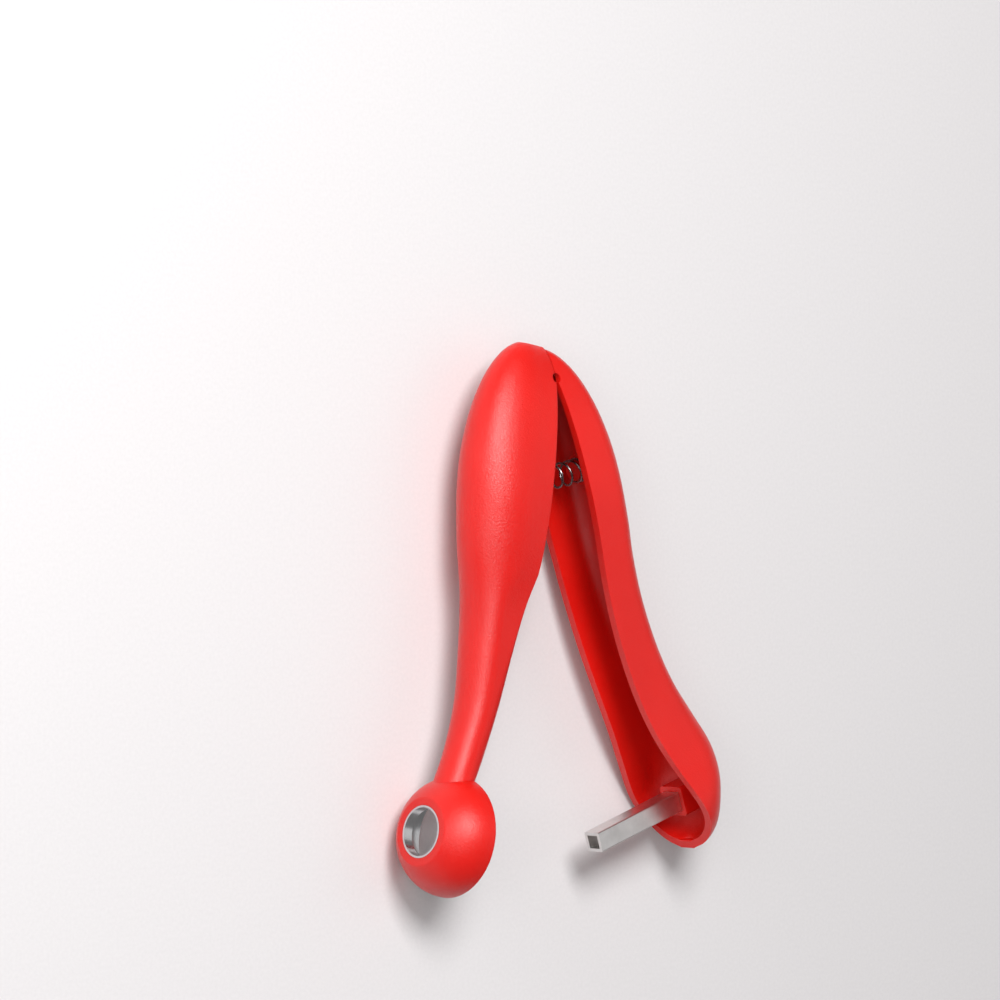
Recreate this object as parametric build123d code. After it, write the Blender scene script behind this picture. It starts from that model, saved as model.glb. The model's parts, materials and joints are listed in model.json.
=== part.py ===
from build123d import *
from math import asin, cos, degrees, pi, radians, sin, sqrt, tan
import os

# Cherry pitter: two moulded levers hinged near their top ends and held open by a coil spring.
# The cup lever ends in a bowl lined with a pressed steel cup, and the plunger lever ends in a
# hood that holds a square steel plunger. Squeezing the grips drives the plunger into the cup.
#
# Millimetres. The tool lies on its side: +Z is the hinge axis, +Y runs from the working end
# to the hinge end, and +X runs from the cup lever to the plunger lever. The origin is the
# middle of the base of the open tool's bounding box.
# A lever is drawn in its own frame: the hinge axis at the origin and the lever hanging down -Y.
# Reach is a distance below the hinge axis. Out is a distance from the parting plane, where the
# closed grips meet, towards the lever's back, which is +X in that frame.

# The pair of levers
REACH = 141.6               # hinge axis to the common axis of cup and plunger
TRAVEL = 26.0               # degrees from fully open to closed
CUP_LEVER_LEAN = 9.8        # degrees that the cup lever leans out when open
PARTING_GAP = 0.15          # each grip rim stops this far short of the parting plane
STOP_GAP = 0.2              # between the two tail faces when the tool is open
WALL = 2.5                  # wall of both mouldings
GRIP_HALF_WIDTH = 12.4      # widest place of either grip
GRIP_MIDDLE = 39.0          # reach of that place
TAIL = 9.2                  # length of either lever above the hinge axis

# Cup lever
CUP_GRIP_DEPTH = 25.2       # out to the back at the thickest place
CUP_GRIP_SWELL = 27.0       # reach of that place
CUP_BACK_ROUND = 17.0       # how deep the rounding of the back is there
CUP_TAIL_CROWN = 7.0        # out to the tip of the tail
CUP_CHANNEL_LENGTH = 88.0   # reach where the grip's channel has run out into the neck
NECK_TO_CUP = 25.6          # slimmest place of the neck to the cup axis
NECK_OUT = 11.6             # out to the neck's centre there
NECK_RADIUS = 6.1

# Bowl-shaped head of the cup lever
HEAD_RADIUS = 18.2
HEAD_RIM_OUT = 10.9         # out to the rim of the bowl
HEAD_DEPTH = 13.9           # rim to the flat land round the hole
HEAD_STRAIGHT = 0.8         # the bowl's outside runs straight this far behind its rim
LAND_WIDTH = 2.4            # moulded land outside the steel collar
LAND_ROUND = 1.0
RIM_ROUND = 0.6

# Pressed steel cup
CUP_SHEET = 0.6
CUP_HOLE_RADIUS = 7.3       # inside the collar
CUP_COLLAR = 3.2            # length of the collar that lines the hole
CUP_MOUTH_RADIUS = 15.2     # inside the cup at its rim
CUP_INSET = 0.5             # the cup's rim lies this far inside the bowl's rim
CUP_FIT = 0.05              # gap between the steel cup and the moulding

# Plunger lever
PLUNGER_GRIP_DEPTH = 18.7
PLUNGER_GRIP_SWELL = 36.0
PLUNGER_BACK_ROUND = 8.4
PLUNGER_TAIL_CROWN = -2.0   # past the stop face, which cuts this tail before it closes
RIM_CURVE_REACH = 60.0      # where the rim starts to curve away from the parting plane
RIM_CURVE_RADIUS = 213.0
RIM_CURL_REACH = 144.0      # where it curls back towards the hood's end
RIM_CURL_RADIUS = 40.0
WAIST_HALF_WIDTH = 9.9      # slimmest place between the grip and the hood
HOOD_HALF_WIDTH = 16.0
HOOD_DEPTH = 34.6           # out to the back of the hood
HOOD_BACK_ROUND = 13.0
HOOD_END = 15.3             # cup axis to the end of the hood
HOOD_CROWN = 22.6           # out to the place where its rounded end closes

# Plunger and its socket
PLUNGER_WIDTH = 6.2
PLUNGER_TIP = 17.6          # how far the tip reaches past the parting plane
PLUNGER_ROOT = 28.5         # out to the end held in the socket
PLUNGER_SLANT = 2.0         # degrees; the tip points a little away from the hinge
PLUNGER_EDGE = 0.4          # rounding of the long edges
PLUNGER_FIT = 0.03
TIP_WALL = 1.0
TIP_RECESS = 5.0
SOCKET_WALL = 1.6
SOCKET_OUT = 18.5           # out to the socket's face
SOCKET_ROUND = 1.2

# Hinge
PIN_RADIUS = 1.5
PIN_FIT = 0.02              # gap round the pin in the ears that hold it
PIN_PLAY = 0.05             # running clearance in the knuckle
NOSE_RADIUS = 3.3           # rounded ends of ears and knuckle
KNUCKLE_WIDTH = 3.0
EAR_THICKNESS = 1.6
SIDE_PLAY = 0.2

# Return spring and its seats
SPRING_REACH = 31.0
SPRING_RADIUS = 3.6         # to the middle of the wire
SPRING_WIRE = 0.75
SPRING_TURNS = 11           # with one close turn at each end
CLOSE_PITCH = 1.25
CUP_SEAT_OUT = 17.0
PLUNGER_SEAT_OUT = 8.3
SEAT_GAP = 0.05
SEAT_RADIUS = 4.8
SPIGOT_LENGTH = 2.6
SPIGOT_PLAY = 0.3

# Worked out from the sizes above
PLUNGER_LEVER_LEAN = TRAVEL - CUP_LEVER_LEAN
HALF_TRAVEL = radians(TRAVEL / 2)
NECK_REACH = REACH - NECK_TO_CUP
HEAD_LAND_OUT = HEAD_RIM_OUT + HEAD_DEPTH
COLLAR_OUTSIDE = CUP_HOLE_RADIUS + CUP_SHEET
STOCK = 2 * HOOD_DEPTH      # cutting tools are longer than a lever is deep

# How the solids are drawn
OVERRUN = 3.0               # cutting tools run this far past what they cut
BEHIND_RIM = -1.0           # sections start here, and the rim line cuts them back
FLAT = 0.3                  # rounding of a section face that is cut away
SECTION_SPACING = 6.0
RIM_CURL_TURN = 30          # degrees of the rim's last curve, enough to pass the hood
TIP_ANGLES = (36, 62, 80)   # sections of the hood's rounded end
TOP_ANGLES = (80, 72, 62, 51, 40, 29, 18, 8, 0)
STEPS_PER_TURN = 4          # quarter turns of the spring, each drawn as two arcs
SAMPLES_PER_TURN = 24       # points for measuring the least gap between the turns

# A row describes one cross-section:
# reach, half width, out to the inner face, out to the back, inner rounding, back rounding


def section(row):
    """Two straight sides between a rounded inner face and a rounded back."""
    reach, half_width, inner, outer, inner_round, outer_round = row
    front = inner + inner_round
    back = outer - outer_round
    outline = [
        Line((front, -half_width), (back, -half_width)),
        EllipticalCenterArc((back, 0), outer_round, half_width, -90, arc_size=180),
        Line((back, half_width), (front, half_width)),
        EllipticalCenterArc((front, 0), inner_round, half_width, 90, arc_size=180),
    ]
    plane = Plane(origin=(0, -reach, 0), x_dir=(1, 0, 0), z_dir=(0, -1, 0))
    return plane * make_face(outline)


def between(rows, reach):
    """The row at one reach, on smooth curves through the given rows."""
    at = max([i for i in range(len(rows) - 1) if rows[i][0] <= reach] or [0])
    low, high = rows[at], rows[at + 1]
    before, after = rows[max(at - 1, 0)], rows[min(at + 2, len(rows) - 1)]
    gap = high[0] - low[0]
    share = (reach - low[0]) / gap
    row = [reach]
    for k in range(1, len(low)):
        rise_low = (high[k] - before[k]) / (high[0] - before[0]) * gap
        rise_high = (after[k] - low[k]) / (after[0] - low[0]) * gap
        row.append(
            low[k] * (2 * share ** 3 - 3 * share ** 2 + 1)
            + high[k] * (3 * share ** 2 - 2 * share ** 3)
            + rise_low * (share ** 3 - 2 * share ** 2 + share)
            + rise_high * (share ** 3 - share ** 2))
    return tuple(row)


def evenly_spaced(rows):
    """Rows at even steps from the second given row to the last. The first only steers the
    curve, so that it goes on smoothly from the rows before."""
    first, last = rows[1][0], rows[-1][0]
    count = round((last - first) / SECTION_SPACING)
    return [between(rows, first + (last - first) * k / count) for k in range(count + 1)]


def grip_top(depth, swell, back_round, crown, wall):
    """Rows from a lever's tail to its widest place, on ellipses in width and in depth. With a
    wall they are the rows of the hollow inside it."""
    height = (GRIP_MIDDLE + TAIL - wall) / sin(radians(TOP_ANGLES[0]))
    rows = []
    for angle in TOP_ANGLES:
        reach = GRIP_MIDDLE - height * sin(radians(angle))
        off_swell = (swell - reach) / (swell - GRIP_MIDDLE + height)
        fullness = sqrt(1 - off_swell ** 2)
        rows.append((
            reach,
            (GRIP_HALF_WIDTH - wall) * cos(radians(angle)),
            BEHIND_RIM,
            crown + (depth - wall - crown) * fullness,
            FLAT,
            (back_round - wall) * fullness))
    return rows


def hood_tip(base, end):
    """Rows that close the hood from a base row to its end."""
    reach, half_width, inner, outer, inner_round, outer_round = base
    length = (end - reach) / sin(radians(TIP_ANGLES[-1]))
    rows = []
    for angle in TIP_ANGLES:
        along, across = sin(radians(angle)), cos(radians(angle))
        rows.append((
            reach + length * along,
            half_width * across,
            inner,
            HOOD_CROWN + (outer - HOOD_CROWN) * across ** 2,
            inner_round,
            outer_round * across))
    return rows


def inside_wall(row, wall):
    """The same row inside a wall, and open past the parting plane."""
    reach, half_width, inner, outer, inner_round, outer_round = row
    return (reach, half_width - wall, -OVERRUN, outer - wall, FLAT, outer_round - wall)


def solid_through(rows):
    return loft([section(row) for row in rows])


def channel_through(top, rows, tip=()):
    """The hollow of a lever: rows of the top's own hollow, then rows inside the wall."""
    hollow = [inside_wall(row, 0) for row in top[:-1]]
    hollow += [inside_wall(row, WALL) for row in evenly_spaced(rows)]
    return solid_through(hollow + list(tip))


def parting_cut(rim):
    """All that lies in front of the rim, or of the tail's slanted stop face."""
    top = TAIL + OVERRUN
    stop_top = top * tan(HALF_TRAVEL) + STOP_GAP / 2
    outline = rim + [
        Line((PARTING_GAP, 0), (stop_top, top)),
        Line((stop_top, top), (-STOCK, top)),
        Line((-STOCK, top), (-STOCK, -REACH - STOCK)),
        Line((-STOCK, -REACH - STOCK), rim[-1] @ 1),
    ]
    return extrude(make_face(outline), STOCK, both=True)


def about_cup_axis(outline, rounded=()):
    """Revolve an outline drawn as (out, radius), with some corners rounded first."""
    face = make_face(outline)
    for corner, radius in rounded:
        nearest = face.vertices().sort_by_distance(corner)[0]
        face = fillet(nearest, radius)
    return Pos(0, -REACH, 0) * revolve(face, Axis.X, 360)


def hinge_ribs(body, starts, thickness):
    """Ribs from the back wall to the hinge axis, with rounded noses for the pin."""
    ribs = []
    for start in starts:
        web = extrude(Pos(STOCK / 2, 0) * Rectangle(STOCK, 2 * NOSE_RADIUS), thickness)
        nose = extrude(Circle(NOSE_RADIUS), thickness)
        ribs.append((Pos(0, 0, start) * web & body) + Pos(0, 0, start) * nose)
    return ribs


def spring_seat(body, out):
    """A post on the back wall, with a spigot inside the spring's end turns."""
    spigot_radius = SPRING_RADIUS - SPRING_WIRE / 2 - SPIGOT_PLAY
    axis = Plane(origin=(out, -SPRING_REACH, 0), z_dir=(1, 0, 0))
    post = axis * extrude(Circle(SEAT_RADIUS), STOCK) & body
    return post + axis * extrude(Circle(spigot_radius), -SPIGOT_LENGTH)


def cup_lever_top(wall=0):
    return grip_top(CUP_GRIP_DEPTH, CUP_GRIP_SWELL, CUP_BACK_ROUND, CUP_TAIL_CROWN, wall)


def cup_lever_rows():
    """The rows below the grip's widest place that hold the channel, and those of the neck."""
    belly = (
        GRIP_MIDDLE + 15.0, GRIP_HALF_WIDTH - 0.8, BEHIND_RIM, CUP_GRIP_DEPTH - 3.3, FLAT,
        CUP_BACK_ROUND - 1.2)
    taper = NECK_REACH - belly[0]
    neck_front, neck_back = NECK_OUT - NECK_RADIUS, NECK_OUT + NECK_RADIUS
    neck_round = NECK_RADIUS - 0.1
    shoulder = (NECK_REACH - 0.74 * taper, NECK_RADIUS + 2.8, 0.6, neck_back, 1.5, neck_round + 2.0)
    neck = [
        (NECK_REACH - 0.48 * taper, NECK_RADIUS + 1.7, 1.4, neck_back - 1.5, 4.0, neck_round + 1.0),
        (NECK_REACH - 0.24 * taper, NECK_RADIUS + 0.8, 2.6, neck_back - 2.1, 5.8, neck_round + 0.3),
        (NECK_REACH, NECK_RADIUS, neck_front, neck_back, neck_round, neck_round),
        (NECK_REACH + 11.0, NECK_RADIUS, neck_front + 3.1, neck_back + 2.8, 5.8, 5.8),
    ]
    return [belly, shoulder], neck


def cup_space(grow, back, front):
    """The space in the cup, grown outwards, from one end of the cup axis to the other."""
    hole = CUP_HOLE_RADIUS + grow
    mouth = CUP_MOUTH_RADIUS + grow
    bowl_depth = HEAD_DEPTH - CUP_COLLAR + grow
    bowl_end = HEAD_RIM_OUT + bowl_depth
    return about_cup_axis([
        Line((back, 0), (back, hole)),
        Line((back, hole), (bowl_end, hole)),
        EllipticalCenterArc((HEAD_RIM_OUT, hole), bowl_depth, mouth - hole, 0),
        Line((HEAD_RIM_OUT, mouth), (front, mouth)),
        Line((front, mouth), (front, 0)),
        Line((front, 0), (back, 0)),
    ])


def build_cup_insert():
    inside = cup_space(0, HEAD_LAND_OUT + OVERRUN, -OVERRUN)
    outside = cup_space(CUP_SHEET, HEAD_LAND_OUT, HEAD_RIM_OUT - OVERRUN)
    mouth = Plane(origin=(HEAD_RIM_OUT + CUP_INSET, -REACH, 0), z_dir=(-1, 0, 0))
    return outside - inside - mouth * extrude(Circle(STOCK), STOCK)


def build_head():
    land_radius = COLLAR_OUTSIDE + LAND_WIDTH
    shoulder = HEAD_RIM_OUT + HEAD_STRAIGHT
    land_angle = asin(land_radius / HEAD_RADIUS)
    crown_depth = (HEAD_LAND_OUT - shoulder) / cos(land_angle)
    outline = [
        Line((HEAD_RIM_OUT, 0), (HEAD_RIM_OUT, HEAD_RADIUS)),
        Line((HEAD_RIM_OUT, HEAD_RADIUS), (shoulder, HEAD_RADIUS)),
        EllipticalCenterArc(
            (shoulder, 0), crown_depth, HEAD_RADIUS, degrees(land_angle),
            arc_size=90 - degrees(land_angle)),
        Line((HEAD_LAND_OUT, land_radius), (HEAD_LAND_OUT, 0)),
        Line((HEAD_LAND_OUT, 0), (HEAD_RIM_OUT, 0)),
    ]
    return about_cup_axis(outline, [
        ((HEAD_LAND_OUT, land_radius), LAND_ROUND),
        ((HEAD_RIM_OUT, HEAD_RADIUS), RIM_ROUND)])


def build_cup_lever():
    top = cup_lever_top()
    grip, neck = cup_lever_rows()
    body = solid_through(top[:-1] + evenly_spaced(top[-2:] + grip + neck))
    runout = (CUP_CHANNEL_LENGTH, WALL + 2.5, 0, WALL + 6.0, FLAT, WALL + 2.0)
    shell = body - parting_cut([Line((PARTING_GAP, 0), (PARTING_GAP, -REACH - STOCK))])
    shell -= channel_through(cup_lever_top(WALL), top[-2:] + grip + [runout])
    shell += build_head()
    shell -= cup_space(CUP_SHEET + CUP_FIT, HEAD_LAND_OUT + OVERRUN, -OVERRUN)
    ear_start = KNUCKLE_WIDTH / 2 + SIDE_PLAY
    shell += hinge_ribs(body, (ear_start, -ear_start - EAR_THICKNESS), EAR_THICKNESS)
    shell += spring_seat(body, CUP_SEAT_OUT)
    return shell - extrude(Circle(PIN_RADIUS + PIN_FIT), STOCK / 2, both=True)


def plunger_lever_top(wall=0):
    return grip_top(
        PLUNGER_GRIP_DEPTH, PLUNGER_GRIP_SWELL, PLUNGER_BACK_ROUND, PLUNGER_TAIL_CROWN, wall)


def plunger_lever_rows():
    """The rows from below the grip's widest place to the hood's, which is the last."""
    depth, back, width = PLUNGER_GRIP_DEPTH, PLUNGER_BACK_ROUND, GRIP_HALF_WIDTH
    waist, wide, hood_back = WAIST_HALF_WIDTH, HOOD_HALF_WIDTH, HOOD_BACK_ROUND
    return [
        (GRIP_MIDDLE + 11.0, width - 0.3, BEHIND_RIM, depth - 0.4, FLAT, back - 0.2),
        (GRIP_MIDDLE + 21.0, width - 1.1, BEHIND_RIM, depth - 0.9, FLAT, back - 0.5),
        (REACH - 66.6, waist + 0.5, BEHIND_RIM, depth - 0.3, FLAT, back - 0.9),
        (REACH - 50.6, waist, BEHIND_RIM, depth + 2.2, FLAT, back - 1.1),
        (REACH - 37.6, waist, 1.0, HOOD_DEPTH - 9.8, FLAT, back - 0.6),
        (REACH - 25.6, waist + 0.9, 3.0, HOOD_DEPTH - 4.4, FLAT, hood_back - 3.5),
        (REACH - 14.6, wide - 3.0, 6.0, HOOD_DEPTH - 0.3, FLAT, hood_back - 1.0),
        (REACH - 4.0, wide - 0.3, 9.0, HOOD_DEPTH - 0.8, FLAT, hood_back + 1.0),
        (REACH, wide, 11.0, HOOD_DEPTH - 2.0, FLAT, hood_back + 2.0),
    ]


def plunger_rim():
    """The rim runs straight down the grip, curves away from the cup and curls back at the end."""
    curve_start = Vector(PARTING_GAP, -RIM_CURVE_REACH)
    centre = curve_start + Vector(RIM_CURVE_RADIUS, 0)
    turn = degrees(asin((RIM_CURL_REACH - RIM_CURVE_REACH) / RIM_CURVE_RADIUS))
    curve = CenterArc(centre, RIM_CURVE_RADIUS, 180, turn)
    curl_centre = curve @ 1 + (curve @ 1 - centre).normalized() * RIM_CURL_RADIUS
    return [
        Line((PARTING_GAP, 0), curve_start),
        curve,
        CenterArc(curl_centre, RIM_CURL_RADIUS, turn, -RIM_CURL_TURN),
    ]


def across_plunger(out):
    """The plane across the plunger's axis, at a distance along it from the parting plane, which
    faces the lever's back."""
    slant = radians(PLUNGER_SLANT)
    along = Vector(cos(slant), sin(slant))
    return Plane(
        origin=Vector(0, -REACH) + along * out, x_dir=Vector(-sin(slant), cos(slant)), z_dir=along)


def build_plunger_lever():
    top = plunger_lever_top()
    rows = plunger_lever_rows()
    hood_end = REACH + HOOD_END
    body = solid_through(
        top[:-1] + evenly_spaced(top[-2:] + rows) + hood_tip(rows[-1], hood_end))
    shell = body - parting_cut(plunger_rim())
    hollow_tip = hood_tip(inside_wall(rows[-1], WALL), hood_end - WALL)
    shell -= channel_through(plunger_lever_top(WALL), top[-2:] + rows, hollow_tip)
    shell += hinge_ribs(body, (-KNUCKLE_WIDTH / 2,), KNUCKLE_WIDTH)
    shell += spring_seat(body, PLUNGER_SEAT_OUT)
    width = PLUNGER_WIDTH + 2 * SOCKET_WALL
    block = extrude(RectangleRounded(width, width, SOCKET_ROUND), STOCK)
    shell += across_plunger(SOCKET_OUT) * block & body
    bore = PLUNGER_WIDTH + 2 * PLUNGER_FIT
    depth = PLUNGER_ROOT + PLUNGER_FIT - SOCKET_OUT
    shell -= across_plunger(SOCKET_OUT) * extrude(Rectangle(bore, bore), depth)
    return shell - extrude(Circle(PIN_RADIUS + PIN_PLAY), STOCK / 2, both=True)


def build_plunger():
    """A square bar whose tip is hollowed, so that its four edges grip the stone."""
    bar = extrude(
        RectangleRounded(PLUNGER_WIDTH, PLUNGER_WIDTH, PLUNGER_EDGE), PLUNGER_TIP + PLUNGER_ROOT)
    bore = PLUNGER_WIDTH - 2 * TIP_WALL
    return across_plunger(-PLUNGER_TIP) * (bar - extrude(Rectangle(bore, bore), TIP_RECESS))


def build_hinge_pin():
    half_length = KNUCKLE_WIDTH / 2 + SIDE_PLAY + EAR_THICKNESS
    return extrude(Circle(PIN_RADIUS), half_length, both=True)


class SpringAxis:
    """The spring's centre line, by the distance from the plunger lever's seat: one arc between
    the two seats' directions, then straight into the deeper seat of the cup lever."""

    def __init__(self):
        lead = SPRING_REACH * tan(HALF_TRAVEL) + PLUNGER_SEAT_OUT
        self.bend = lead / tan(HALF_TRAVEL)
        self.arc = self.bend * 2 * HALF_TRAVEL
        self.length = self.arc + CUP_SEAT_OUT - PLUNGER_SEAT_OUT
        lean = radians(PLUNGER_LEVER_LEAN)
        self.start_angle = pi + lean
        seat = Vector(sin(lean), -cos(lean)) * SPRING_REACH - self.heading(0) * PLUNGER_SEAT_OUT
        self.centre = seat - self.side(0) * self.bend

    def heading(self, distance):
        angle = self.start_angle - min(distance, self.arc) / self.bend
        return Vector(cos(angle), sin(angle))

    def side(self, distance):
        ahead = self.heading(distance)
        return Vector(-ahead.Y, ahead.X)

    def point(self, distance):
        straight = max(distance - self.arc, 0)
        return self.centre + self.side(distance) * self.bend + self.heading(distance) * straight

    def curvature(self, distance):
        return 1 / self.bend if distance < self.arc else 0


def wire_distance(axis, turn):
    """Distance along the axis after so many turns: a close turn, open turns, a close turn."""
    start = SEAT_GAP + SPRING_WIRE / 2
    end = axis.length - start
    open_pitch = (end - start - 2 * CLOSE_PITCH) / (SPRING_TURNS - 2)
    if turn <= 1:
        return start + turn * CLOSE_PITCH
    if turn >= SPRING_TURNS - 1:
        return end - (SPRING_TURNS - turn) * CLOSE_PITCH
    return start + CLOSE_PITCH + (turn - 1) * open_pitch


def wire_point(axis, turn):
    distance = wire_distance(axis, turn)
    angle = 2 * pi * turn
    across = axis.side(distance) * cos(angle) + Vector(0, 0, sin(angle))
    return axis.point(distance) + across * SPRING_RADIUS


def wire_tangent(axis, turn):
    step = 1 / STEPS_PER_TURN
    low, high = max(turn - step, 0), min(turn + step, SPRING_TURNS)
    pitch = (wire_distance(axis, high) - wire_distance(axis, low)) / (high - low)
    distance = wire_distance(axis, turn)
    angle = 2 * pi * turn
    stretch = 1 + axis.curvature(distance) * SPRING_RADIUS * cos(angle)
    around = axis.side(distance) * -sin(angle) + Vector(0, 0, cos(angle))
    along = axis.heading(distance) * (pitch * stretch)
    return (around * (2 * pi * SPRING_RADIUS) + along).normalized()


def biarc(start, start_tangent, end, end_tangent):
    """Two tangent arcs from one point and direction to another."""
    chord = end - start
    both = start_tangent + end_tangent
    a = both.dot(both) - 4
    b = -2 * chord.dot(both)
    c = chord.dot(chord)
    handle = (-b - sqrt(b * b - 4 * a * c)) / (2 * a)
    first = start + start_tangent * handle
    second = end - end_tangent * handle
    middle = (first + second) * 0.5
    return [
        TangentArc(start, middle, tangent=start_tangent),
        TangentArc(middle, end, tangent=(second - first).normalized()),
    ]


def least_spring_gap(axis):
    """Clear distance between points of the wire that lie more than half a turn apart."""
    count = SPRING_TURNS * SAMPLES_PER_TURN + 1
    points = [wire_point(axis, k / SAMPLES_PER_TURN) for k in range(count)]
    distances = [
        (points[i] - points[j]).length
        for i in range(count)
        for j in range(i + SAMPLES_PER_TURN // 2, min(i + 3 * SAMPLES_PER_TURN, count))
    ]
    return min(distances) - SPRING_WIRE


def build_return_spring():
    axis = SpringAxis()
    turns = [k / STEPS_PER_TURN for k in range(SPRING_TURNS * STEPS_PER_TURN + 1)]
    points = [wire_point(axis, turn) for turn in turns]
    tangents = [wire_tangent(axis, turn) for turn in turns]
    lead_in = points[0] - tangents[0] * SPRING_WIRE
    lead_out = points[-1] + tangents[-1] * SPRING_WIRE
    path = [Line(lead_in, points[0])]
    for k in range(len(points) - 1):
        path += biarc(points[k], tangents[k], points[k + 1], tangents[k + 1])
    path.append(Line(points[-1], lead_out))
    print("least gap between the spring's turns:", round(least_spring_gap(axis), 2), "mm")
    return sweep(Plane(origin=lead_in, z_dir=tangents[0]) * Circle(SPRING_WIRE / 2), Wire(path))


def assemble():
    """Every piece in the open tool, with the hinge axis still at the origin."""
    as_cup_side = Rot(0, 0, -CUP_LEVER_LEAN) * Rot(0, 180, 0)
    as_plunger_side = Rot(0, 0, PLUNGER_LEVER_LEAN)
    return {
        "cup_lever": as_cup_side * build_cup_lever(),
        "cup_insert": as_cup_side * build_cup_insert(),
        "plunger_lever": as_plunger_side * build_plunger_lever(),
        "plunger": as_plunger_side * build_plunger(),
        "hinge_pin": build_hinge_pin(),
        "return_spring": build_return_spring(),
    }


def main():
    os.makedirs("parts", exist_ok=True)
    pieces = assemble()
    box = Compound(list(pieces.values())).bounding_box()
    hinge = Vector(-box.center().X, -box.center().Y, -box.min.Z)
    print("hinge axis at X", round(hinge.X, 3), "and Y", round(hinge.Y, 3), "mm")
    for name, piece in pieces.items():
        export_step(Pos(hinge) * piece, f"parts/{name}.step")


if __name__ == "__main__":
    main()
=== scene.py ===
import bpy
import json
import math
from mathutils import Matrix, Vector


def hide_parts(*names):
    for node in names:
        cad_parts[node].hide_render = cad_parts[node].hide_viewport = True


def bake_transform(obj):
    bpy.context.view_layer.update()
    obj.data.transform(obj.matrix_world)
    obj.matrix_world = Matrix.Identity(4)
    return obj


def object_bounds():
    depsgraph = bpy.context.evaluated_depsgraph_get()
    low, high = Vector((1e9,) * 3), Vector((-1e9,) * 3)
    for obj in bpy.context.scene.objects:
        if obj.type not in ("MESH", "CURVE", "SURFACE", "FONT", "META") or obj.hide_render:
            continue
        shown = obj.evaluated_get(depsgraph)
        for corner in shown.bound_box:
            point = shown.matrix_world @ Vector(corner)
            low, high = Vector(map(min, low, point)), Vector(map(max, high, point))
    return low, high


# Cherry pitter, lying on its side as it is modelled: +Z is the hinge axis, +Y runs to the hinge
# end and +X from the cup lever to the plunger lever. Metres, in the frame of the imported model.
#
# A point of a lever is given by its reach, the distance below the hinge axis, and by how far
# out it lies from the parting plane, where the closed grips meet.

MM = 0.001

# The levers, as the solids have them
TRAVEL = math.radians(26.0)
CUP_LEAN = math.radians(9.8)
PLUNGER_LEAN = TRAVEL - CUP_LEAN
PLUNGER_SLANT = math.radians(2.0)
REACH = 141.6 * MM          # hinge axis to the common axis of cup and plunger

# The return spring
SPRING_REACH = 31.0 * MM
SPRING_RADIUS = 3.6 * MM    # to the middle of the wire
WIRE = 0.75 * MM
TURNS = 11                  # with one close turn at each end
CLOSE_PITCH = 1.25 * MM
CUP_SEAT_OUT = 17.0 * MM
PLUNGER_SEAT_OUT = 8.3 * MM
SEAT_GAP = 0.05 * MM
RINGS_PER_TURN = 48
SIDES = 16

# Red plastic. A noise scale is a count per metre, and a relief is a depth.
RED_RANGE = ((0.63, 0.006, 0.003), (0.71, 0.009, 0.005))
RED_DRIFT_SCALE = 28.0
RED_ROUGHNESS = (0.30, 0.41)
HANDLING_SCALE = 60.0
HANDLING_STRETCH = (9.0, 1.0, 9.0)      # marks run along the levers
GRAIN_SCALE = 1500.0
GRAIN_DEPTH = 0.12 * MM
RIPPLE_SCALE = 160.0
RIPPLE_DEPTH = 0.012 * MM
PLASTIC_IOR = 1.49
PLASTIC_SPECULAR = 0.5
GLOW_WEIGHT = 0.5                       # light that goes into the plastic and out again
GLOW_COLOUR = (1.0, 0.06, 0.05)
GLOW_DEPTH = 2.5 * MM

# Drawn steel bar
BAR_RANGE = ((0.65, 0.63, 0.62), (0.77, 0.75, 0.74))
BAR_CLOUD_SCALE = 220.0
BAR_ROUGHNESS = 0.30
PIN_ROUGHNESS = 0.22
SMOOTHER = 0.08                         # how far the scratches move the roughness
ROUGHER = 0.12
SCRATCH_SCALE = 260.0
SCRATCH_STRETCH = (1.0, 14.0, 14.0)
SPECKLE_SCALE = 2400.0

# Pressed steel cup
CUP_RANGE = ((0.58, 0.58, 0.59), (0.70, 0.70, 0.71))
CUP_CLOUD_SCALE = 180.0
CUP_ROUGHNESS = (0.16, 0.32)
RING_SCALE = 2600.0
STEEL_RELIEF = 0.003 * MM

# Spring wire
WIRE_RANGE = ((0.20, 0.19, 0.19), (0.34, 0.33, 0.33))
WIRE_ROUGHNESS = (0.20, 0.34)
DIE_MARK_SCALE = 1500.0
DIE_MARK_DEPTH = 0.002 * MM

# Floor
FLOOR_SIZE = 6.0
FLOOR_GAP = 0.05 * MM                   # below the lowest point of the tool
FLOOR_RANGE = ((0.72, 0.70, 0.705), (0.75, 0.73, 0.735))
FLOOR_ROUGHNESS = 0.85
FIBRE_SCALE = 900.0
FIBRE_DEPTH = 0.01 * MM

# A colour range is spread between these two levels of a noise
DARK_LEVEL = 0.3
LIGHT_LEVEL = 0.7

# The photograph's camera. Its turn and the hinge's pixel are fitted to the hole, the plunger
# and the levers' rims. Its focal length and scale are chosen.
PHOTO_WIDTH = 1000                      # pixels
FOCAL_PIXELS = 5500
HINGE_PIXEL = (539.4, 378.5)
PIXELS_PER_MM = 3.3                     # at the hinge
CAMERA_TURN = math.radians(43.0)
CAMERA_DISTANCE = FOCAL_PIXELS / PIXELS_PER_MM * MM
CAMERA_SIGHT = 20.0                     # the camera sees this far
SENSOR = 36.0                           # mm, so that the lens is worked out in mm too

# Softboxes: name, direction from the target, distance, size of the side, watts
SOFTBOXES = (
    ("key", (-0.42, 0.46, 0.86), 1.2, 0.45, 14),
    ("front_fill", (-0.72, 0.05, 0.70), 1.5, 0.7, 5),
    ("left_fill", (-1.0, 0.30, 0.35), 2.0, 1.2, 6),
    ("right_fill", (0.68, 0.05, 0.73), 1.4, 1.0, 1.6),
)
LIGHT_TARGET = Vector((0, -0.07, 0))    # from the hinge, about the middle of the tool
SKY_COLOUR = (1.0, 0.98, 0.98, 1.0)
SKY_STRENGTH = 0.20


def hinge_point():
    return Vector(frame["joints"][0]["pos_m"])


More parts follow.
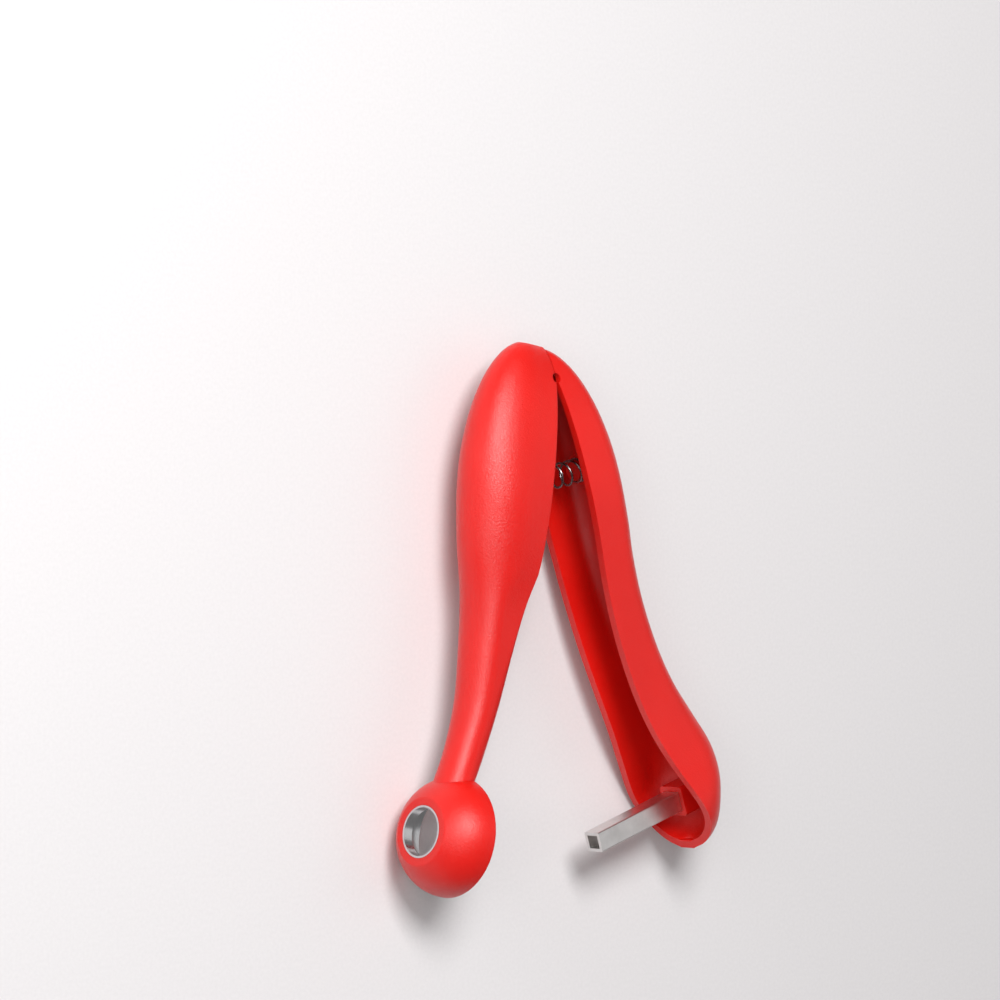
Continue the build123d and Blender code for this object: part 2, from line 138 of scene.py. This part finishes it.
def lever_point(side, out, reach):
    """A point in the middle of a lever's width, with the tool open."""
    if side == "cup":
        lean = CUP_LEAN
        offset = Vector((-out * math.cos(lean) - reach * math.sin(lean),
                         out * math.sin(lean) - reach * math.cos(lean), 0))
    else:
        lean = PLUNGER_LEAN
        offset = Vector((out * math.cos(lean) + reach * math.sin(lean),
                         out * math.sin(lean) - reach * math.cos(lean), 0))
    return hinge_point() + offset


# Node helpers

def new_material(name):
    material = bpy.data.materials.new(name)
    material.use_nodes = True
    tree = material.node_tree
    shader = tree.nodes["Principled BSDF"]
    return material, tree, shader


def add_node(tree, kind, inputs=None, **settings):
    node = tree.nodes.new(kind)
    for key, value in settings.items():
        setattr(node, key, value)
    for key, value in (inputs or {}).items():
        node.inputs[key].default_value = value
    return node


def object_coordinates(tree, scale=(1, 1, 1), turn=0.0, origin=(0, 0, 0)):
    """Object coordinates measured from a point, turned about +Z and stretched."""
    place = add_node(tree, "ShaderNodeTexCoord")
    shift = add_node(tree, "ShaderNodeVectorMath", operation="SUBTRACT")
    shift.inputs[1].default_value = origin
    mapping = add_node(tree, "ShaderNodeMapping", {"Rotation": (0, 0, turn), "Scale": scale})
    tree.links.new(place.outputs["Object"], shift.inputs[0])
    tree.links.new(shift.outputs[0], mapping.inputs["Vector"])
    return mapping.outputs["Vector"]


def noise(tree, vector, scale, detail=4.0, roughness=0.5):
    node = add_node(tree, "ShaderNodeTexNoise", {
        "Scale": scale, "Detail": detail, "Roughness": roughness})
    tree.links.new(vector, node.inputs["Vector"])
    return node.outputs["Fac"]


def set_colour(tree, shader, factor, dark_and_light):
    """Base colour that drifts between two colours with a noise."""
    ramp = add_node(tree, "ShaderNodeValToRGB")
    stops = zip((DARK_LEVEL, LIGHT_LEVEL), dark_and_light)
    for point, (level, colour) in zip(ramp.color_ramp.elements, stops):
        point.position = level
        point.color = (*colour, 1.0)
    tree.links.new(factor, ramp.inputs["Fac"])
    tree.links.new(ramp.outputs["Color"], shader.inputs["Base Color"])


def set_roughness(tree, shader, factor, low, high):
    """Roughness that varies over a range with a noise of 0 to 1."""
    node = add_node(tree, "ShaderNodeMapRange", {"To Min": low, "To Max": high})
    tree.links.new(factor, node.inputs["Value"])
    tree.links.new(node.outputs["Result"], shader.inputs["Roughness"])


def set_relief(tree, shader, heights):
    """Fine surface relief, as pairs of a height output and a depth."""
    normal = None
    for height, depth in heights:
        bump = add_node(tree, "ShaderNodeBump", {"Strength": 1.0, "Distance": depth})
        tree.links.new(height, bump.inputs["Height"])
        if normal:
            tree.links.new(normal, bump.inputs["Normal"])
        normal = bump.outputs["Normal"]
    tree.links.new(normal, shader.inputs["Normal"])


# Materials

def red_plastic():
    """Satin moulded plastic with a fine spark-eroded grain, slow colour drift and soft ripples."""
    material, tree, shader = new_material("red_plastic")
    place = object_coordinates(tree)
    drift = noise(tree, place, RED_DRIFT_SCALE, detail=2.0)
    grain = noise(tree, place, GRAIN_SCALE, detail=4.0, roughness=0.7)
    ripples = noise(tree, place, RIPPLE_SCALE, detail=2.0)
    along = object_coordinates(tree, scale=HANDLING_STRETCH)
    handling = noise(tree, along, HANDLING_SCALE, detail=5.0)
    set_colour(tree, shader, drift, RED_RANGE)
    set_roughness(tree, shader, handling, *RED_ROUGHNESS)
    set_relief(tree, shader, [(ripples, RIPPLE_DEPTH), (grain, GRAIN_DEPTH)])
    shader.inputs["IOR"].default_value = PLASTIC_IOR
    shader.inputs["Specular IOR Level"].default_value = PLASTIC_SPECULAR
    shader.inputs["Subsurface Weight"].default_value = GLOW_WEIGHT
    shader.inputs["Subsurface Radius"].default_value = GLOW_COLOUR
    shader.inputs["Subsurface Scale"].default_value = GLOW_DEPTH
    return material


def drawn_bar(name, turn, roughness):
    """Drawn bar: fine scratches along its length, which lies at a turn from +X."""
    material, tree, shader = new_material(name)
    place = object_coordinates(tree)
    along = object_coordinates(tree, scale=SCRATCH_STRETCH, turn=-turn)
    scratches = noise(tree, along, SCRATCH_SCALE, detail=6.0, roughness=0.65)
    speckle = noise(tree, place, SPECKLE_SCALE, detail=3.0)
    clouds = noise(tree, place, BAR_CLOUD_SCALE, detail=3.0)
    set_colour(tree, shader, clouds, BAR_RANGE)
    set_roughness(tree, shader, scratches, roughness - SMOOTHER, roughness + ROUGHER)
    set_relief(tree, shader, [(scratches, STEEL_RELIEF), (speckle, STEEL_RELIEF)])
    shader.inputs["Metallic"].default_value = 1.0
    return material


def pressed_steel():
    """Pressed sheet: faint rings about the cup's axis, left by the tool that drew it."""
    material, tree, shader = new_material("pressed_steel")
    place = object_coordinates(tree, turn=CUP_LEAN, origin=lever_point("cup", 0, REACH))
    parts = add_node(tree, "ShaderNodeSeparateXYZ")
    tree.links.new(place, parts.inputs[0])
    ring = add_node(tree, "ShaderNodeCombineXYZ")
    tree.links.new(parts.outputs["Y"], ring.inputs["Y"])
    tree.links.new(parts.outputs["Z"], ring.inputs["Z"])
    radius = add_node(tree, "ShaderNodeVectorMath", operation="LENGTH")
    tree.links.new(ring.outputs[0], radius.inputs[0])
    profile = add_node(tree, "ShaderNodeCombineXYZ")
    tree.links.new(parts.outputs["X"], profile.inputs["X"])
    tree.links.new(radius.outputs["Value"], profile.inputs["Y"])
    rings = noise(tree, profile.outputs[0], RING_SCALE, detail=4.0, roughness=0.6)
    clouds = noise(tree, object_coordinates(tree), CUP_CLOUD_SCALE, detail=3.0)
    set_colour(tree, shader, clouds, CUP_RANGE)
    set_roughness(tree, shader, rings, *CUP_ROUGHNESS)
    set_relief(tree, shader, [(rings, STEEL_RELIEF)])
    shader.inputs["Metallic"].default_value = 1.0
    return material


def spring_wire():
    """Drawn spring wire, duller and darker than the bright steel."""
    material, tree, shader = new_material("spring_wire")
    die_marks = noise(tree, object_coordinates(tree), DIE_MARK_SCALE, detail=4.0)
    set_colour(tree, shader, die_marks, WIRE_RANGE)
    set_roughness(tree, shader, die_marks, *WIRE_ROUGHNESS)
    set_relief(tree, shader, [(die_marks, DIE_MARK_DEPTH)])
    shader.inputs["Metallic"].default_value = 1.0
    return material


def floor_paper():
    material, tree, shader = new_material("floor_paper")
    fibres = noise(tree, object_coordinates(tree), FIBRE_SCALE, detail=5.0)
    set_colour(tree, shader, fibres, FLOOR_RANGE)
    set_relief(tree, shader, [(fibres, FIBRE_DEPTH)])
    shader.inputs["Roughness"].default_value = FLOOR_ROUGHNESS
    return material


# Pieces

def add_object(name, data):
    obj = bpy.data.objects.new(name, data)
    bpy.context.scene.collection.objects.link(obj)
    return obj


def finish_node(node, material):
    """A CAD node keeps its shape and its own smooth normals, and gets its material."""
    mesh = frame["nodes"][node].data
    mesh.materials.clear()
    mesh.materials.append(material)


class SpringAxis:
    """The spring's centre line: an arc out of the plunger lever, then straight into the cup
    lever's deeper seat. Distances run from the plunger lever's seat."""

    def __init__(self):
        lead = SPRING_REACH * math.tan(TRAVEL / 2) + PLUNGER_SEAT_OUT
        self.bend = lead / math.tan(TRAVEL / 2)
        self.arc = self.bend * TRAVEL
        self.length = self.arc + CUP_SEAT_OUT - PLUNGER_SEAT_OUT
        seat = lever_point("plunger", PLUNGER_SEAT_OUT, SPRING_REACH)
        self.centre = seat - self.side(0) * self.bend

    def heading(self, distance):
        angle = math.pi + PLUNGER_LEAN - min(distance, self.arc) / self.bend
        return Vector((math.cos(angle), math.sin(angle), 0))

    def side(self, distance):
        ahead = self.heading(distance)
        return Vector((-ahead.y, ahead.x, 0))

    def point(self, distance):
        straight = max(distance - self.arc, 0)
        return self.centre + self.side(distance) * self.bend + self.heading(distance) * straight


def wire_point(axis, turn):
    start = SEAT_GAP + WIRE / 2
    end = axis.length - start
    open_pitch = (end - start - 2 * CLOSE_PITCH) / (TURNS - 2)
    distance = start + min(turn, 1) * CLOSE_PITCH
    distance += min(max(turn - 1, 0), TURNS - 2) * open_pitch
    distance += max(turn - (TURNS - 1), 0) * CLOSE_PITCH
    angle = 2 * math.pi * turn
    across = axis.side(distance) * math.cos(angle) + Vector((0, 0, math.sin(angle)))
    return axis.point(distance) + across * SPRING_RADIUS


def tube(name, points, radius, sides):
    """A closed tube along points, its rings carried on without twist."""
    verts, faces = [], []
    ahead = (points[1] - points[0]).normalized()
    across = ahead.orthogonal().normalized()
    for i, point in enumerate(points):
        last, following = points[max(i - 1, 0)], points[min(i + 1, len(points) - 1)]
        new_ahead = (following - last).normalized()
        across = ahead.rotation_difference(new_ahead) @ across
        ahead = new_ahead
        up = ahead.cross(across)
        for k in range(sides):
            angle = 2 * math.pi * k / sides
            verts.append(point + (across * math.cos(angle) + up * math.sin(angle)) * radius)
    for i in range(len(points) - 1):
        for k in range(sides):
            a, b = i * sides + k, i * sides + (k + 1) % sides
            faces.append((a, b, b + sides, a + sides))
    faces.append(tuple(reversed(range(sides))))
    faces.append(tuple(range((len(points) - 1) * sides, len(points) * sides)))
    mesh = bpy.data.meshes.new(name)
    mesh.from_pydata(verts, [], faces)
    mesh.update()
    for polygon in mesh.polygons:
        polygon.use_smooth = len(polygon.vertices) == 4
    return add_object(name, mesh)


def build_spring():
    """The wound spring, which bends and shortens between the two levers."""
    axis = SpringAxis()
    points = [wire_point(axis, k / RINGS_PER_TURN) for k in range(TURNS * RINGS_PER_TURN + 1)]
    points.insert(0, points[0] + (points[0] - points[1]).normalized() * WIRE)
    points.append(points[-1] + (points[-1] - points[-2]).normalized() * WIRE)
    spring = tube("return_spring_wire", points, WIRE / 2, SIDES)
    spring.data.materials.append(spring_wire())
    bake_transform(spring)
    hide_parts("return_spring")


# Stage

def place_camera():
    """Level with the tool's length and turned about it, with the hinge at its own pixel."""
    right = Vector((math.cos(CAMERA_TURN), 0, math.sin(CAMERA_TURN)))
    up = Vector((0, 1, 0))
    back = Vector((-math.sin(CAMERA_TURN), 0, math.cos(CAMERA_TURN)))
    middle = PHOTO_WIDTH / 2
    per_pixel = CAMERA_DISTANCE / FOCAL_PIXELS
    position = hinge_point() + back * CAMERA_DISTANCE
    position -= right * ((HINGE_PIXEL[0] - middle) * per_pixel)
    position += up * ((HINGE_PIXEL[1] - middle) * per_pixel)
    data = bpy.data.cameras.new("camera")
    data.sensor_width = SENSOR
    data.lens = SENSOR * FOCAL_PIXELS / PHOTO_WIDTH
    data.clip_end = CAMERA_SIGHT
    camera = add_object("camera", data)
    turn = Matrix((right, up, back)).transposed().to_4x4()
    camera.matrix_world = Matrix.Translation(position) @ turn
    bpy.context.scene.camera = camera


def soft_light(name, direction, distance, size, watts):
    """A square softbox that faces the target from a direction."""
    ray = Vector(direction).normalized()
    data = bpy.data.lights.new(name, "AREA")
    data.shape = "SQUARE"
    data.size = size
    data.energy = watts
    light = add_object(name, data)
    light.location = hinge_point() + LIGHT_TARGET + ray * distance
    light.rotation_euler = ray.to_track_quat("Z", "Y").to_euler()


def place_lights():
    for softbox in SOFTBOXES:
        soft_light(*softbox)
    world = bpy.data.worlds.new("studio")
    bpy.context.scene.world = world
    world.use_nodes = True
    sky = world.node_tree.nodes["Background"]
    sky.inputs["Color"].default_value = SKY_COLOUR
    sky.inputs["Strength"].default_value = SKY_STRENGTH


def place_floor():
    half = FLOOR_SIZE / 2
    mesh = bpy.data.meshes.new("floor")
    mesh.from_pydata([(-half, -half, 0), (half, -half, 0), (half, half, 0), (-half, half, 0)],
                     [], [(0, 1, 2, 3)])
    mesh.materials.append(floor_paper())
    floor = add_object("floor", mesh)
    floor.location.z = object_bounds()[0].z - FLOOR_GAP


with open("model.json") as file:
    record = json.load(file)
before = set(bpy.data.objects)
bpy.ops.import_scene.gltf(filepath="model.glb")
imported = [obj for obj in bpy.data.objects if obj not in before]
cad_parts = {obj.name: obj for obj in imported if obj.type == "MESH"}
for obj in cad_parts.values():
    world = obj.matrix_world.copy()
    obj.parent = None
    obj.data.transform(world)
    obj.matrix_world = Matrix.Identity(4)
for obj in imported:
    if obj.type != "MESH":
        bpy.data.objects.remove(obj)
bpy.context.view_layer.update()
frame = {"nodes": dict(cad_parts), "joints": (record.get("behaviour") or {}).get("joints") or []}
plastic = red_plastic()
finish_node("cup_lever", plastic)
finish_node("plunger_lever", plastic)
finish_node("cup_insert", pressed_steel())
bar_turn = PLUNGER_LEAN + PLUNGER_SLANT
finish_node("plunger", drawn_bar("plunger_steel", bar_turn, BAR_ROUGHNESS))
finish_node("hinge_pin", drawn_bar("pin_steel", 0.0, PIN_ROUGHNESS))
build_spring()
place_camera()
place_lights()
place_floor()
bpy.context.scene.view_settings.view_transform = "Standard"
